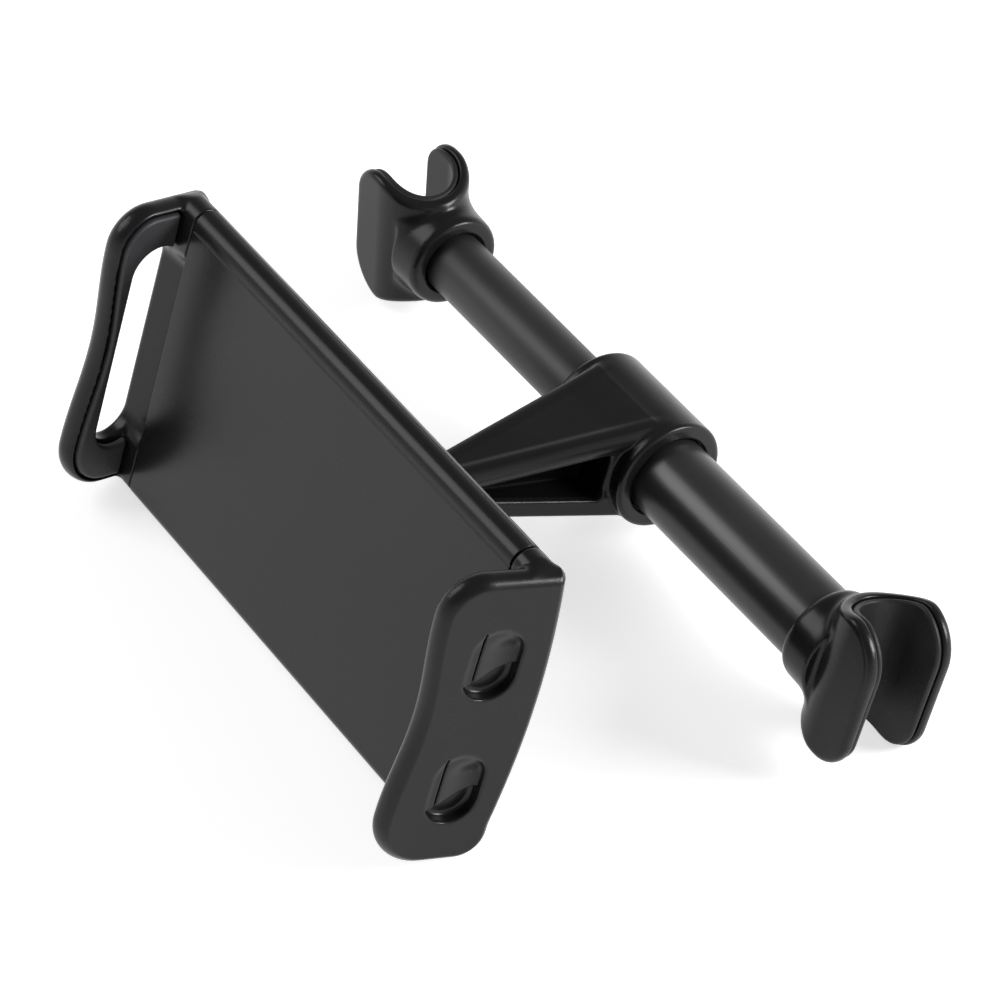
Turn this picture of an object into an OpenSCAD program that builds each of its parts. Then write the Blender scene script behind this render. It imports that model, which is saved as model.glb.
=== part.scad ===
// Headrest tablet mount: a telescoping bar with two post hooks, a wedge arm on
// the bar, and a tablet tray with one spring-loaded pull-out jaw.
// X runs along the bar, Y points away from the viewer of the tablet, Z is up
// along the headrest posts. The origin is where the right hook's post crosses the
// bar's axis; the modules work from the hub's middle and piece() moves them there.

/* [Bar] */
// Outside diameter of the outer tube
outer_tube_d = 18; // [14:0.5:24]
// Wall of the outer tube
outer_tube_wall = 1.5; // [1:0.1:2]
// Outside diameter of the inner tube
inner_tube_d = 14; // [10:0.5:14.5]
// Wall of the inner tube
inner_tube_wall = 1.2; // [0.8:0.1:1.6]
// Visible length of the inner tube between hub and left hook
inner_show = 53.3; // [48:0.1:66]
// Visible length of the outer tube between hub and right hook
outer_show = 53.3; // [40:0.1:66]

/* [Hub and arm] */
// Length of the hub along the bar, without its end bushes
hub_len = 28; // [22:1:36]
// Outside diameter of the hub
hub_d = 24; // [23:0.5:32]
// How far the bushes lie inside the hub's ends
bush_recess = 1.4; // [0.6:0.1:3]
// Wall of the bushes between the hub and the outer tube
bush_t = 1.4; // [0.8:0.1:1.8]
// Width of the arm where it leaves the hub
arm_w = 23.6; // [20:0.2:28]
// Width of the arm's neck at the ball
neck_w = 9.2; // [8:0.2:16]
// Height of the arm's neck at the ball
neck_h = 11.5; // [9:0.5:14]
// Distance from the bar axis to the start of the neck
arm_len = 46; // [40:1:52]
// Rise of the arm's underside from the hub to the neck
under_rise = 1.6; // [0:0.1:3]
// Drop of the neck's middle below the bar axis
neck_drop = 3.6; // [0:0.1:8]
// Thickness of the arm's top plate
plate_t = 4.9; // [3:0.1:6]
// Thickness of the arm's bottom rail
rail_t = 4.1; // [3:0.1:6]
// Thickness of the web in the middle of the arm
web_t = 3.2; // [2:0.1:5]

/* [Ball joint] */
// Diameter of the ball
ball_d = 15; // [12:0.5:17]
// Outside diameter of the socket behind the tray
socket_d = 21; // [20.5:0.5:22]
// Diameter of the ball's stem
stem_d = 6.5; // [5:0.5:7.5]
// Distance from the bar axis to the ball's centre
ball_reach = 61; // [58:0.5:66]
// Wall of the seat between ball and socket
seat_t = 1.2; // [0.8:0.1:1.6]
// Outside diameter of the lock nut
nut_d = 26; // [24:0.5:30]
// Length of the lock nut
nut_len = 9; // [7:0.5:10]

/* [Tray] */
// Length of the tray between its two jaws
tray_len = 117; // [100:1:150]
// Height of the tray
tray_h = 70.5; // [60:0.5:90]
// Thickness of the tray
tray_t = 7.2; // [6.5:0.1:10]
// Distance from the bar axis to the tray's front face
tray_reach = 79.6; // [78:0.1:90]
// Height of the tray's top edge above the bar axis
tray_top = 29.2; // [20:0.1:40]
// Wall of the tray's two shells
shell_t = 1.5; // [1.2:0.1:2]

/* [Jaws] */
// Distance from a jaw's seam to its outer face
jaw_out = 9.5; // [8:0.1:14]
// Thickness of a jaw's plate
jaw_t = 4.3; // [3.5:0.1:6]
// Height of a jaw
jaw_h = 68.2; // [56:0.1:88]
// Drop of a jaw's top below the tray's top
jaw_drop = 1.4; // [0:0.1:3]
// How far the jaws stand in front of the tray
jaw_depth = 17.4; // [14:0.1:24]
// Hollow of the jaws' front edge at its waist
jaw_waist = 1.9; // [0:0.1:4]
// Inward lean of the jaws in degrees
jaw_lean = 9; // [0:0.5:12]
// Thickness of the grip pads
pad_t = 1.8; // [1.2:0.1:2.4]
// Thickness of a jaw's round lip
lip_t = 5.4; // [4:0.1:6]
// Width of the lip beside the grip pad
lip_w = 3.2; // [2.8:0.1:5]
// Radius of a jaw's upper front corner
jaw_r_top = 9; // [6:0.5:12]
// Radius of a jaw's lower front corner
jaw_r_low = 11.5; // [6:0.5:14]
// Width of the handle window
window_w = 11.4; // [7:0.1:12]
// Level of the handle window's top
window_top = 15; // [8:0.5:16]
// Level of the handle window's bottom
window_low = -30.5; // [-32:0.5:-20]
// How far the handle window reaches behind the tray's front face
window_back = 1; // [0:0.1:2]
// Level of the upper finger pocket's top
upper_pocket = 14.8; // [10:0.2:18]
// Level of the lower finger pocket's top
lower_pocket = -15.4; // [-18:0.2:-10]
// Length of a finger pocket
pocket_len = 16.6; // [12:0.2:20]
// Width of a finger pocket
pocket_w = 10; // [8:0.5:12]
// Depth of a finger pocket
pocket_depth = 2.6; // [1.5:0.1:3]
// How far a finger pocket starts in front of the tray
pocket_out = 8.6; // [8:0.1:12]

/* [Hooks] */
// Diameter of the post that a hook takes
post_d = 14; // [10:0.5:16]
// Thickness of a hook's liner
liner_t = 1.6; // [1.2:0.1:2.4]
// Wall of a hook's shell round the liner
hook_wall = 2.1; // [2:0.1:4]
// Length of a hook's collar on the tube
collar_len = 7; // [6:0.5:10]
// Depth of the tube's socket in a collar
socket_depth = 4.2; // [3:0.1:5]
// Outside diameter of a hook's collar
collar_d = 22.6; // [22:0.2:30]
// Distance from the collar's mouth to the post's centre
post_reach = 15.8; // [15:0.1:24]
// Distance from the post's centre to the arm tips
arm_reach = 8.6; // [7:0.2:14]
// Height of a hook's arms
hook_h = 30.6; // [24:0.2:34]
// Height of a hook's back
back_h = 25; // [22:0.2:30]
// Radius of the arms' corners
tip_r = 6; // [3:0.5:7]
// Rounding of the collar's mouth
mouth_r = 2; // [0.5:0.1:3]
// Turn of the left hook about the bar, in degrees
left_turn = 13; // [-90:1:90]
// Turn of the right hook about the bar, in degrees
right_turn = 0; // [-90:1:90]

/* [Fits] */
// Radial clearance of a part that turns or slides
run_fit = 0.1; // [0.05:0.01:0.2]
// Gap between separate pieces
gap = 0.3; // [0.2:0.05:0.5]

/* [Hidden] */
$fn = 64;

black = [0.09, 0.09, 0.1];
dark = [0.16, 0.16, 0.17];
metal = [0.32, 0.32, 0.33];
steel = [0.6, 0.6, 0.62];

hub_end = hub_len / 2;
left_mouth = -hub_end - inner_show;
right_mouth = hub_end + outer_show;
outer_tube_id = outer_tube_d - 2 * outer_tube_wall;
inner_tube_id = inner_tube_d - 2 * inner_tube_wall;
outer_left = -hub_end;
outer_right = right_mouth + socket_depth;
inner_left = left_mouth - socket_depth;
mouth_bush_len = 10;
slide_bush_len = 12;
inner_right = outer_left + mouth_bush_len + gap + slide_bush_len;
plug_len = 16;
screw_d = 3;
head_d = 6;
head_t = 1.4;
spigot_d = 4;

tray_mid = tray_top - tray_h / 2;
tray_y = -tray_reach;
tray_back_y = tray_y + tray_t;
nose_r = tray_t / 2;
seam = tray_len / 2;
split = nose_r + 0.6;
screw_x = [-seam + 12, seam - 12];
screw_z = [tray_top - 9, tray_top - tray_h + 9];
spring_z = [tray_mid + 14, tray_mid - 14];

function sweep_points(p, r, sides) = [for (i = [0 : len(p) - 1]) for (j = [0 : sides - 1])
    let (a = 360 * j / sides) p[i][0] + r * cos(a) * p[i][1] + r * sin(a) * p[i][2]];
function sweep_faces(rings, sides) = concat(
    [[for (j = [0 : sides - 1]) sides - 1 - j]],
    [for (i = [0 : rings - 2]) for (j = [0 : sides - 1])
        [i * sides + j, i * sides + (j + 1) % sides,
         (i + 1) * sides + (j + 1) % sides, (i + 1) * sides + j]],
    [[for (j = [0 : sides - 1]) (rings - 1) * sides + j]]);

// Colours a piece and moves it from the hub's middle to the row frame, whose origin is the right post
module piece(colour) {
    translate([-right_mouth - post_reach, 0, 0]) color(colour) children();
}

// A cylinder along +X from x0 to x1
module bar_x(x0, x1, d) {
    translate([x0, 0, 0]) rotate([0, 90, 0]) cylinder(d = d, h = x1 - x0);
}

// A ring along +X from x0 to x1
module ring_x(x0, x1, d, bore) {
    difference() {
        bar_x(x0, x1, d);
        bar_x(x0 - 1, x1 + 1, bore);
    }
}

// An open helix of wire along +X
module coil(x0, length, coil_r, wire_r, turns) {
    steps = 14;
    sides = 6;
    rings = turns * steps + 1;
    frames = [for (i = [0 : rings - 1]) let (a = 360 * i / steps, u = [0, cos(a), sin(a)])
        [[x0 + length * i / (rings - 1), coil_r * cos(a), coil_r * sin(a)], u, [1, 0, 0]]];
    polyhedron(points = sweep_points(frames, wire_r, sides), faces = sweep_faces(rings, sides));
}

module outer_tube() {
    piece(metal) ring_x(outer_left, outer_right, outer_tube_d, outer_tube_id);
}

module mouth_bush() {
    piece(black) ring_x(outer_left + gap, outer_left + mouth_bush_len, outer_tube_id, inner_tube_d + 2 * run_fit);
}

module bar_spring() {
    piece(steel) coil(inner_right + 0.9, outer_right - plug_len - inner_right - 1.8, outer_tube_id / 2 - 1.6, 0.6, 9);
}

module inner_tube() {
    piece(metal) ring_x(inner_left, inner_right, inner_tube_d, inner_tube_id);
}

module slide_bush() {
    piece(black) ring_x(inner_right - slide_bush_len, inner_right, outer_tube_id - 2 * run_fit, inner_tube_d);
}

// A plug pressed into a tube's end, drilled for the hook screw; the end is at x = 0, the plug runs to -X
module end_plug(d) {
    difference() {
        bar_x(-plug_len, 0, d);
        bar_x(-plug_len + 3, 1, screw_d + run_fit);
    }
}

module right_end_plug() {
    piece(black) translate([outer_right, 0, 0]) end_plug(outer_tube_id);
}

module left_end_plug() {
    piece(black) translate([inner_left, 0, 0]) mirror([1, 0, 0]) end_plug(inner_tube_id);
}

hook_r = post_d / 2 + liner_t + hook_wall;
liner_r = post_d / 2 + liner_t;
screw_floor = post_reach - liner_r;

// Hook screw: its head lies in the channel's floor under the liner
module hook_screw() {
    difference() {
        union() {
            bar_x(socket_depth - plug_len + 5, screw_floor - head_t, screw_d);
            bar_x(screw_floor - head_t, screw_floor - 0.2, head_d);
        }
        translate([screw_floor, 0, 0]) cube([1.2, head_d * 0.65, 1], center = true);
        translate([screw_floor, 0, 0]) cube([1.2, 1, head_d * 0.65], center = true);
    }
}

module place_right_hook() {
    translate([right_mouth, 0, 0]) rotate([right_turn, 0, 0]) children();
}

module place_left_hook() {
    translate([left_mouth, 0, 0]) rotate([left_turn, 0, 0]) mirror([0, 0, 1]) mirror([1, 0, 0]) children();
}

// Side outline of the hook in X and Z: higher at the arms than at the back
module hook_side(inset) {
    tip_x = post_reach + arm_reach - inset;
    high = hook_h / 2 - inset;
    back = back_h / 2 - inset;
    r = tip_r - inset;
    shoulder_x = post_reach + 1;
    union() {
        for (s = [-1, 1]) {
            translate([tip_x - r, s * (high - r)]) circle(r = r);
            polygon([[0, 0], [0, s * back], [post_reach - hook_r, s * back], [shoulder_x - 3, s * (high - 0.5)],
                     [shoulder_x, s * high], [tip_x - r, s * high], [tip_x - r, 0]]);
        }
        translate([tip_x - r - 1, r - high]) square([r + 1, 2 * (high - r)]);
    }
}

// Plan of the U, open towards +X
module u_plan(r) {
    translate([post_reach, 0]) union() {
        circle(r = r);
        translate([0, -r]) square([arm_reach + 2, 2 * r]);
    }
}

// Round collar with a rounded mouth, widening into the back of the U
module hook_collar() {
    rotate([0, 90, 0]) rotate_extrude() polygon(concat(
        [[0, 0]],
        [for (i = [0 : 6]) let (a = 90 - 15 * i)
            [collar_d / 2 - mouth_r + mouth_r * cos(a), mouth_r - mouth_r * sin(a)]],
        [[collar_d / 2, collar_len], [hook_r - 1, collar_len + 3], [0, collar_len + 3]]));
}

module hook_shell() {
    difference() {
        union() {
            hook_collar();
            intersection() {
                translate([0, 0, -hook_h]) linear_extrude(2 * hook_h) u_plan(hook_r);
                rotate([90, 0, 0]) translate([0, 0, -hook_h]) linear_extrude(2 * hook_h) hook_side(0);
            }
        }
        translate([0, 0, -hook_h]) linear_extrude(2 * hook_h) u_plan(liner_r);
        bar_x(-1, screw_floor, screw_d + 2 * run_fit);
        bar_x(screw_floor - head_t - 2 * run_fit, screw_floor + 1, head_d + 2 * run_fit);
    }
}

module right_hook_shell() {
    piece(black) place_right_hook() difference() {
        hook_shell();
        bar_x(-1, socket_depth + gap, outer_tube_d + 2 * run_fit);
    }
}

module left_hook_shell() {
    piece(black) place_left_hook() difference() {
        hook_shell();
        bar_x(-1, socket_depth + gap, inner_tube_d + 2 * run_fit);
    }
}

module hook_liner() {
    intersection() {
        difference() {
            translate([0, 0, -hook_h]) linear_extrude(2 * hook_h) u_plan(liner_r - run_fit / 2);
            translate([post_reach, 0, -hook_h - 1]) cylinder(d = post_d, h = 2 * hook_h + 2);
            translate([post_reach, -post_d / 2, -hook_h - 1]) cube([arm_reach + 4, post_d, 2 * hook_h + 2]);
        }
        rotate([90, 0, 0]) translate([0, 0, -hook_h]) linear_extrude(2 * hook_h) hook_side(0.4);
    }
}

module right_hook_liner() {
    piece(dark) place_right_hook() hook_liner();
}

module left_hook_liner() {
    piece(dark) place_left_hook() hook_liner();
}

module right_hook_screw() {
    piece(steel) place_right_hook() hook_screw();
}

module left_hook_screw() {
    piece(steel) place_left_hook() hook_screw();
}

arm_top_hub = hub_d / 2 - 0.6;
arm_top_neck = neck_h / 2 - neck_drop;
arm_low_neck = -neck_h / 2 - neck_drop + 0.9;
arm_low_hub = arm_low_neck - under_rise;
slope = (arm_top_hub - arm_top_neck) / (arm_len - 5);
under = under_rise / arm_len;

// Plan of the arm: wide at the hub, tapering to the neck
module arm_plan() {
    polygon([[-arm_w / 2, 0], [-neck_w / 2, -arm_len], [-neck_w / 2, -arm_len - 4],
             [neck_w / 2, -arm_len - 4], [neck_w / 2, -arm_len], [arm_w / 2, 0]]);
}

// Side of the arm in Y and Z, from the hub to the neck
module arm_side() {
    polygon([[0, arm_low_hub], [0, arm_top_hub], [-5, arm_top_hub], [-arm_len, arm_top_neck],
             [-arm_len - 4, arm_top_neck - 0.6], [-arm_len - 4, arm_low_neck + 0.6], [-arm_len, arm_low_neck]]);
}

// The open recess seen from the side, between top plate and bottom rail
module recess_side() {
    near = -hub_d / 2 - 1.6;
    far = -arm_len + 4.5;
    far_low = far + 3.4;
    polygon([[near, arm_low_hub + rail_t - under * near], [near, arm_top_hub - plate_t + slope * (near + 5)],
             [far, arm_top_hub - plate_t + slope * (far + 5)], [far_low, arm_low_hub + rail_t - under * far_low]]);
}

module wedge_arm() {
    piece(black) difference() {
        union() {
            bar_x(-hub_len / 2, hub_len / 2, hub_d);
            intersection() {
                translate([0, 0, -30]) linear_extrude(60) arm_plan();
                rotate([90, 0, 90]) translate([0, 0, -30]) linear_extrude(60) arm_side();
            }
        }
        for (s = [-1, 1])
            translate([s > 0 ? web_t / 2 : -30 - web_t / 2, 0, 0])
                rotate([90, 0, 90]) linear_extrude(30) recess_side();
        bar_x(-hub_len / 2 - 1, hub_len / 2 + 1, outer_tube_d + 2 * bush_t);
        translate([0, -arm_len - 6, -neck_drop]) rotate([-90, 0, 0]) cylinder(d = spigot_d + 0.1, h = 12);
    }
}

// A bush pressed into one end of the hub
module hub_bush() {
    ring_x(3, hub_end - bush_recess, outer_tube_d + 2 * bush_t, outer_tube_d + 2 * run_fit);
}

module hub_bush_right() {
    piece(dark) hub_bush();
}

module hub_bush_left() {
    piece(dark) mirror([1, 0, 0]) hub_bush();
}

module at_ball() {
    translate([0, -ball_reach, -neck_drop]) children();
}

// Ball and stem, turned as one piece; the spigot goes into the neck
module ball_stud() {
    piece(dark) at_ball() union() {
        sphere(d = ball_d);
        rotate([-90, 0, 0]) cylinder(d = stem_d, h = ball_reach - arm_len - 4 - gap);
        rotate([-90, 0, 0]) cylinder(d = spigot_d, h = ball_reach - arm_len + 1);
    }
}

// Plastic cup that lines the socket behind the ball
module ball_seat() {
    piece(dark) at_ball() difference() {
        sphere(d = ball_d + 2 * run_fit + 2 * seat_t);
        sphere(d = ball_d + 2 * run_fit);
        translate([-20, -2.4, -20]) cube([40, 40, 40]);
        rotate([90, 0, 0]) cylinder(d = 5, h = 20);
    }
}

// Socket cup on the back of the tray, split-free: the lock nut holds the ball in it
module ball_socket() {
    piece(black) difference() {
        union() {
            translate([0, tray_back_y, -neck_drop]) rotate([-90, 0, 0]) cylinder(d = 34, h = 2.4);
            translate([0, tray_back_y, -neck_drop]) rotate([-90, 0, 0])
                cylinder(d = socket_d, h = tray_reach - tray_t - ball_reach);
        }
        at_ball() sphere(d = ball_d + 4 * run_fit + 2 * seat_t);
    }
}

// Ring nut round the socket, with a grip of flutes
module lock_nut() {
    start = tray_back_y + 2.4 + gap;
    piece(black) difference() {
        translate([0, start, -neck_drop]) rotate([-90, 0, 0]) cylinder(d = nut_d, h = nut_len + 4);
        translate([0, start - 1, -neck_drop]) rotate([-90, 0, 0])
            cylinder(d = socket_d + 2 * run_fit, h = tray_reach - tray_t - ball_reach - 2.4 - gap + 1);
        at_ball() sphere(d = ball_d + 2 * run_fit + 0.4);
        at_ball() rotate([-90, 0, 0]) cylinder(d = stem_d + 3.4, h = 30);
        for (i = [0 : 11])
            translate([0, start - 1, -neck_drop]) rotate([-90, 0, 0]) rotate([0, 0, 30 * i])
                translate([nut_d / 2 + 0.9, 0, 0]) cylinder(d = 4, h = 30, $fn = 24);
    }
}

// Cross-section of the tray in Y and Z: flat front, round top and bottom edges
module tray_section(inset) {
    r = nose_r - inset;
    low_r = 2.4;
    intersection() {
        union() {
            translate([nose_r, tray_top - nose_r]) circle(r = r);
            translate([inset, tray_top - tray_h + low_r + inset])
                square([tray_t - 2 * inset, tray_h - nose_r - low_r - inset]);
            for (y = [inset + low_r, tray_t - inset - low_r])
                translate([y, tray_top - tray_h + low_r + inset]) circle(r = low_r);
            translate([inset + low_r, tray_top - tray_h + inset])
                square([tray_t - 2 * inset - 2 * low_r, low_r + 1]);
        }
        translate([-1, tray_top - tray_h - 1]) square([tray_t + 2, tray_h + 2]);
    }
}

// Extrudes a YZ section along X from x0 to x1, set on the tray's front face
module along_x(x0, x1) {
    translate([x0, tray_y, 0]) rotate([90, 0, 90]) linear_extrude(x1 - x0) children();
}

module tray_front() {
    piece(black) difference() {
        along_x(-seam, seam) tray_section(0);
        along_x(-seam - 1, seam - shell_t) intersection() {
            tray_section(shell_t);
            translate([0, tray_top - tray_h]) square([tray_t, tray_h]);
        }
        along_x(-seam - 1, seam + 1) translate([split, tray_top - tray_h - 1]) square([tray_t, tray_h + 2]);
    }
}

module tray_back() {
    piece(black) difference() {
        along_x(-seam, seam) tray_section(0);
        along_x(-seam - 1, seam - shell_t) tray_section(shell_t);
        along_x(-seam - 1, seam + 1) translate([-1, tray_top - tray_h - 1]) square([split + 1, tray_h + 2]);
        for (x = screw_x, z = screw_z)
            translate([x, tray_back_y - shell_t - 1, z]) rotate([-90, 0, 0]) cylinder(d = 3.4, h = 5);
    }
}

module tray_screws() {
    piece(steel) for (x = screw_x, z = screw_z)
        translate([x, tray_back_y - shell_t, z]) rotate([-90, 0, 0]) cylinder(d = 3, h = shell_t - 0.2);
}

// Outline of a jaw in Y and Z: rounded front corners, a hollow front edge and a nearly square back
function jaw_outline(inset) = let (
    front = -jaw_depth + inset, top = tray_top - jaw_drop - inset, low = tray_top - jaw_drop - jaw_h + inset,
    back = tray_t - min(inset, 0.8), r_top = max(jaw_r_top - inset, 1), r_low = max(jaw_r_low - inset, 1),
    span = top - r_top - low - r_low)
    concat([[back, low + 1], [back, top - 1], [back - 1, top]],
        [for (i = [0 : 6]) let (a = 90 + 15 * i) [front + r_top + r_top * cos(a), top - r_top + r_top * sin(a)]],
        [for (i = [1 : 11]) let (t = i / 12)
            [front + jaw_waist * (1 - cos(360 * t)) / 2, top - r_top - span * t]],
        [for (i = [0 : 6]) let (a = 180 + 15 * i) [front + r_low + r_low * cos(a), low + r_low + r_low * sin(a)]],
        [[back - 1, low]]);

// Lip profile as [inset, distance from the seam], from the outer face round the lip to the recessed inner face
function lip_profile() = let (r = lip_t / 2, x0 = jaw_out - r) concat(
    [[2.4 * r, jaw_out], [1.5 * r, jaw_out - 0.06 * r]],
    [for (a = [60 : -30 : -60]) [r - r * cos(a), x0 + r * sin(a)]],
    [[r, x0 - r], [lip_w - 0.2, x0 - 0.85 * r], [lip_w, jaw_out - jaw_t]]);

// Plate of a jaw with its round lip, as one loft of outlines along X
module jaw_shell() {
    rings = lip_profile();
    n = len(jaw_outline(0));
    m = len(rings);
    points = [for (q = rings) for (p = jaw_outline(q[0])) [seam + q[1], tray_y + p[0], p[1]]];
    sides = [for (k = [0 : m - 2]) for (j = [0 : n - 1]) for (h = [0, 1])
        h == 0 ? [k * n + j, k * n + (j + 1) % n, (k + 1) * n + j]
               : [k * n + (j + 1) % n, (k + 1) * n + (j + 1) % n, (k + 1) * n + j]];
    caps = [[for (j = [0 : n - 1]) n - 1 - j], [for (j = [0 : n - 1]) (m - 1) * n + j]];
    lean() polyhedron(points = points, faces = concat(sides, caps));
}

// Leans a plate about its outer back edge, towards the tablet
module lean() {
    translate([seam + jaw_out, tray_back_y, 0]) rotate([0, 0, -jaw_lean])
        translate([-seam - jaw_out, -tray_back_y, 0]) children();
}

// Base of a jaw between its seam and its plate: a slab with a rounded front top edge
module jaw_base() {
    top = tray_top - jaw_drop - 0.6;
    low = tray_top - jaw_drop - jaw_h + 0.6;
    back = tray_t - 0.4;
    r = nose_r - 1;
    along_x(seam + gap, seam + jaw_out - 2.2) polygon(concat(
        [[0, low + 1.5], [1.5, low], [back - 1.5, low], [back, low + 1.5], [back, top - 1.5], [back - 1.5, top]],
        [for (i = [0 : 4]) let (a = 90 + 22.5 * i) [r + r * cos(a), top - r + r * sin(a)]]));
}

// A bar with round ends along +X, from z0 up to z1, of width w along Y
module obround(z0, z1, w, h) {
    for (z = [z0 + w / 2, z1 - w / 2])
        translate([0, 0, z]) rotate([0, 90, 0]) cylinder(d = w, h = h);
    translate([0, -w / 2, z0 + w / 2]) cube([h, w, z1 - z0 - w]);
}

// Two blind finger pockets in the outer face
module pockets() {
    for (top = [upper_pocket, lower_pocket])
        lean() translate([seam + jaw_out - pocket_depth, tray_y - pocket_out + pocket_w / 2, 0])
            obround(top - pocket_len, top, pocket_w, pocket_depth + 2);
}

module right_jaw() {
    piece(black) difference() {
        union() {
            jaw_shell();
            jaw_base();
        }
        pockets();
    }
}

// Rubber pad in the recess behind the lip
module grip_pad() {
    intersection() {
        lean() along_x(seam + jaw_out - jaw_t - pad_t, seam + jaw_out - jaw_t)
            polygon(jaw_outline(lip_w + gap));
        translate([seam - 20, tray_y - 40, -60]) cube([60, 40 - gap, 120]);
    }
}

module right_grip_pad() {
    piece(dark) grip_pad();
}

// Handle window in the pull-out jaw
module handle_window(grow) {
    w = window_w + 2 * grow;
    lean() translate([seam - 10, tray_y + window_back - window_w / 2, 0])
        obround(window_low - grow, window_top + grow, w, 40);
}

module left_jaw() {
    piece(black) mirror([1, 0, 0]) difference() {
        union() {
            jaw_shell();
            jaw_base();
            // tongue that slides in the tray
            along_x(-seam + 6, seam + 2) tongue_section();
        }
        handle_window(0);
    }
}

// Slide plate with two side rails, inside the tray
module tongue_section() {
    difference() {
        translate([shell_t + gap, tray_top - tray_h + 5])
            square([tray_t - 2 * shell_t - 2 * gap, tray_h - 10]);
        for (z = spring_z)
            translate([0, z - 3.2]) square([tray_t, 6.4]);
    }
}

module left_grip_pad() {
    piece(dark) mirror([1, 0, 0]) difference() {
        grip_pad();
        handle_window(0.8);
    }
}

// Closed-wound return spring, as the outline of its turns
module jaw_spring(z) {
    wire = 0.5;
    r = 1.2;
    length = 36;
    turns = 24;
    translate([-seam + 60, tray_y + tray_t / 2, z]) rotate([0, 90, 0]) rotate_extrude($fn = 32)
        union() {
            translate([r - wire, 0]) square([wire, length]);
            for (i = [0 : turns - 1])
                translate([r - wire / 2, length * (i + 0.5) / turns]) circle(r = wire, $fn = 16);
        }
}

module jaw_spring_upper() {
    piece(steel) jaw_spring(spring_z[0]);
}

module jaw_spring_lower() {
    piece(steel) jaw_spring(spring_z[1]);
}

outer_tube();
mouth_bush();
bar_spring();
right_end_plug();
right_hook_screw();
inner_tube();
slide_bush();
left_end_plug();
left_hook_screw();
left_hook_shell();
left_hook_liner();
right_hook_shell();
right_hook_liner();
wedge_arm();
hub_bush_left();
hub_bush_right();
ball_stud();
ball_seat();
ball_socket();
lock_nut();
tray_front();
tray_back();
tray_screws();
right_jaw();
right_grip_pad();
left_jaw();
left_grip_pad();
jaw_spring_upper();
jaw_spring_lower();
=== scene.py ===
"""Looks of a headrest tablet mount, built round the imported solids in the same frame.

Lengths in this file are in millimetres from the middle of the hub, with X along the
bar, Y away from the viewer of the tablet and Z up. `to_row` moves them to the row
frame, whose origin is the right post, in metres.
"""

from __future__ import annotations

import logging
import math
from dataclasses import dataclass, field
from enum import Enum
from typing import Callable, Iterable, Sequence

import bmesh
import bpy
import numpy as np
from mathutils import Matrix, Vector

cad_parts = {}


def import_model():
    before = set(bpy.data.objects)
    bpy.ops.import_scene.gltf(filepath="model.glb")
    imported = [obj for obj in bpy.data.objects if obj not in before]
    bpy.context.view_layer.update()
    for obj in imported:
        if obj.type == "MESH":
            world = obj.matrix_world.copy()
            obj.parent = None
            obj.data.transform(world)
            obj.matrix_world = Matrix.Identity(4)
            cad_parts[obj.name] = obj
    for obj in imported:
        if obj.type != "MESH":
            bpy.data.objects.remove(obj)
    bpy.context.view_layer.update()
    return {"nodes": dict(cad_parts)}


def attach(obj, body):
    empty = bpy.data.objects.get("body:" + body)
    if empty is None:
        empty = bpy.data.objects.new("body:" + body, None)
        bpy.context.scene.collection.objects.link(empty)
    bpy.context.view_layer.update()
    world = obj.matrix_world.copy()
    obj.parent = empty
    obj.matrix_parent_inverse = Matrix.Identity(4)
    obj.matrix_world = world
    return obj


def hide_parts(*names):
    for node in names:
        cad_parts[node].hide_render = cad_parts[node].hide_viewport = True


log = logging.getLogger("tablet_mount")

Array = np.ndarray
Distance = Callable[[Array, Array, Array], Array]
Surface = tuple[Array, list]

POST_X = 83.1
BALL = (0.0, -61.0, -3.6)
MERGE = 1e-6  # metres between vertices that count as one
BEVEL_ANGLE = 40.0  # degrees above which an edge is bevelled
BUMP_HEIGHT = 0.00005  # metres


class Body(Enum):
    """The moving bodies of the mount, by their names in the frame."""

    BAR = "bar"
    SLIDER = "slider"
    LEFT_HOOK = "left_hook"
    RIGHT_HOOK = "right_hook"
    ARM = "arm"
    SEAT = "ball_seat"
    NUT = "lock_nut"
    TRAY = "tray"
    JAW = "left_jaw"


class Side(Enum):
    """Which end of the bar or tray a piece sits at."""

    LEFT = -1
    RIGHT = 1


def to_row(points: Array) -> Array:
    """Moves points from the hub's middle to the row frame and turns millimetres to metres.

    Args:
        points: array of shape (n, 3) in millimetres.

    Returns:
        The same points in metres, with the right post at the origin.
    """
    return (np.asarray(points, float) - (POST_X, 0.0, 0.0)) / 1000.0


def arc(cx: float, cy: float, r: float, start: float, end: float, steps: int) -> Array:
    """Points on a circle: centre plus r times (cosine, sine) of evenly spaced angles.

    Args:
        cx, cy: centre.
        r: radius.
        start, end: first and last angle in degrees.
        steps: number of points.

    Returns:
        Array of shape (steps, 2).
    """
    a = np.radians(np.linspace(start, end, steps))
    return np.stack([cx + r * np.cos(a), cy + r * np.sin(a)], axis=1)


def loft(rings: Array, caps: bool = True, closed: bool = False) -> Surface:
    """Joins rings of equal length by quads: vertex (i, j) meets (i, j + 1) and (i + 1, j).

    Args:
        rings: array of shape (m, n, 3), one closed loop for each row.
        caps: whether the first and last loop are filled.
        closed: whether the last loop joins the first.

    Returns:
        Vertices and faces.
    """
    m, n, _ = rings.shape
    rows = np.arange(m if closed else m - 1)[:, None]
    cols = np.arange(n)[None, :]
    nxt_row = (rows + 1) % m
    nxt_col = (cols + 1) % n
    corners = [rows * n + cols, rows * n + nxt_col, nxt_row * n + nxt_col, nxt_row * n + cols]
    quads = np.stack(corners, axis=-1)
    faces = quads.reshape(-1, 4).tolist()
    if caps and not closed:
        faces += [list(range(n))[::-1], list(range((m - 1) * n, m * n))]
    return rings.reshape(-1, 3), faces


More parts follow.
